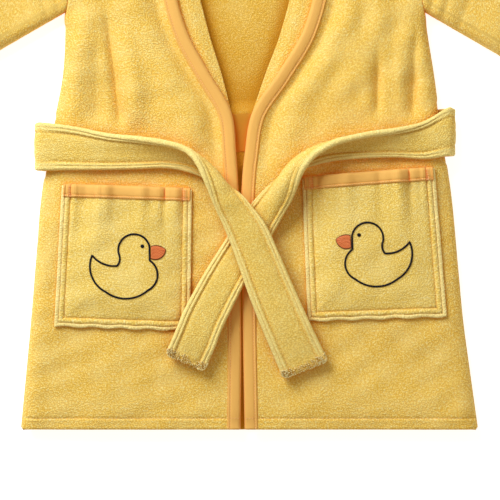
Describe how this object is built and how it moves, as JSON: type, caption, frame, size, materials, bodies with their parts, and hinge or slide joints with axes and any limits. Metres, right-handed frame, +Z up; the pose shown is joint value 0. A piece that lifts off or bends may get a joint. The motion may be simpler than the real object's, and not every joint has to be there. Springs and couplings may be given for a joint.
{
  "type": "hooded bathrobe",
  "caption": "Child's hooded terry bathrobe laid flat, with bound edges, patch pockets embroidered with bath ducks, and a crossed tie belt.",
  "frame": {"origin": "middle of the base, on the surface the robe lies on, halfway between the hem and the top of the hood", "axes": "+X towards the robe's right-hand side as seen from above, +Y from the hem to the hood, +Z up from the surface"},
  "size_m": [0.7208, 0.8185, 0.0546],
  "materials": {
    "terry": "soft looped cotton terry, matte with a light sheen",
    "pocket_terry": "soft looped cotton terry, matte",
    "belt_terry": "soft looped cotton terry, matte",
    "binding": "plain woven cotton tape, matte",
    "tape": "plain woven cotton tape, matte",
    "label": "smooth woven tape, matte",
    "thread_dark": "satin stitch embroidery thread, soft gloss",
    "thread_orange": "satin stitch embroidery thread, soft gloss"
  },
  "bodies": {
    "robe": {"back_panel": "terry", "left_front_chest": "terry", "right_front_chest": "terry", "left_neck_binding": "binding", "right_neck_binding": "binding", "left_front_facing": "terry", "right_front_facing": "terry", "back_waist_tape": "tape", "neck_tape": "tape", "hanging_loop": "tape", "neck_label": "label", "left_belt_loop": "tape", "right_belt_loop": "tape", "belt_back": "belt_terry"},
    "left_front": {"left_front_panel": "terry", "left_front_binding": "binding", "left_pocket": "pocket_terry", "left_pocket_binding": "binding", "left_duck_outline": "thread_dark", "left_duck_beak": "thread_orange", "left_duck_eye": "thread_dark"},
    "right_front": {"right_front_panel": "terry", "right_front_binding": "binding", "right_pocket": "pocket_terry", "right_pocket_binding": "binding", "right_duck_outline": "thread_dark", "right_duck_beak": "thread_orange", "right_duck_eye": "thread_dark"},
    "left_arm": {"left_sleeve": "terry", "left_cuff_band": "binding"},
    "right_arm": {"right_sleeve": "terry", "right_cuff_band": "binding"},
    "hood": {"left_hood_side": "terry", "right_hood_side": "terry", "hood_binding": "binding"},
    "left_belt": {"left_belt_end": "belt_terry"},
    "right_belt": {"right_belt_end": "belt_terry"}
  },
  "joints": [
    {"name": "left_belt_open", "type": "hinge", "parent": "robe", "child": "left_belt", "pos_m": [-0.213, -0.1255, 0.014], "axis": [0, -1, 0], "range_deg": [0, 150]},
    {"name": "right_belt_open", "type": "hinge", "parent": "robe", "child": "right_belt", "pos_m": [0.213, -0.109, 0.014], "axis": [0, 1, 0], "range_deg": [0, 105]},
    {"name": "left_front_open", "type": "hinge", "parent": "robe", "child": "left_front", "pos_m": [-0.226, -0.409, 0.01], "axis": [-0.1136, -0.9935, 0], "range_deg": [0, 75]},
    {"name": "right_front_open", "type": "hinge", "parent": "robe", "child": "right_front", "pos_m": [0.226, -0.409, 0.01], "axis": [-0.1136, 0.9935, 0], "range_deg": [0, 75]},
    {"name": "left_sleeve_lift", "type": "hinge", "parent": "robe", "child": "left_arm", "pos_m": [-0.178, 0.011, 0.02], "axis": [0.101, 0.9949, 0], "range_deg": [0, 90]},
    {"name": "right_sleeve_lift", "type": "hinge", "parent": "robe", "child": "right_arm", "pos_m": [0.178, 0.011, 0.02], "axis": [0.101, -0.9949, 0], "range_deg": [0, 90]},
    {"name": "hood_lift", "type": "hinge", "parent": "robe", "child": "hood", "pos_m": [0, 0.153, 0.0215], "axis": [1, 0, 0], "range_deg": [0, 100]}
  ],
  "couplings": [
    {"joint": "right_belt_open", "follows": "left_belt_open", "ratio": 0.7},
    {"joint": "left_front_open", "follows": "left_belt_open", "ratio": 0.5},
    {"joint": "right_front_open", "follows": "left_belt_open", "ratio": 0.5}
  ]
}
